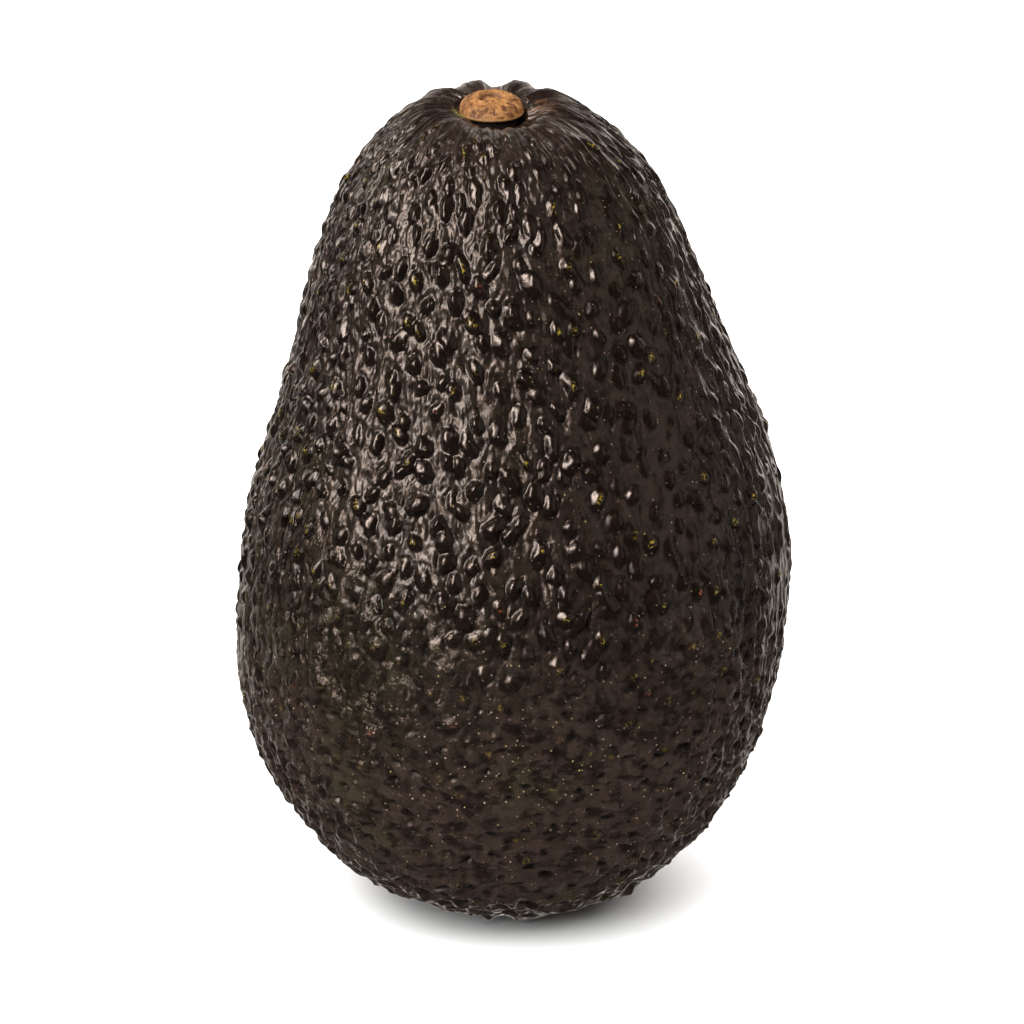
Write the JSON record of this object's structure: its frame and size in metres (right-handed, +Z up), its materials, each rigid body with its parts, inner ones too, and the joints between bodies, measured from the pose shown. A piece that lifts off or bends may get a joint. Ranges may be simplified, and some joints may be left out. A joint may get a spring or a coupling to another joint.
{
  "type": "avocado",
  "caption": "Whole ripe avocado with dark pebbled skin, standing on its blunt end, with the dry stem button in the hollow at its narrow end.",
  "frame": {"origin": "on the resting surface, below the middle of the fruit's widest ring", "axes": "+Z up through the stem end, +X towards the side that the upper body bellies to, -Y towards the viewer"},
  "size_m": [0.0672, 0.067, 0.103],
  "materials": {
    "skin": "leathery pebbled fruit skin, blackish brown with green and purple tints, waxy sheen on the pebbles, tiny pale lenticels",
    "dry_stem": "dry orange-brown woody stem scar, matte, with a paler rim and darker pits"
  },
  "bodies": {
    "root": {"fruit": "skin", "stem_button": "dry_stem"}
  },
  "joints": []
}
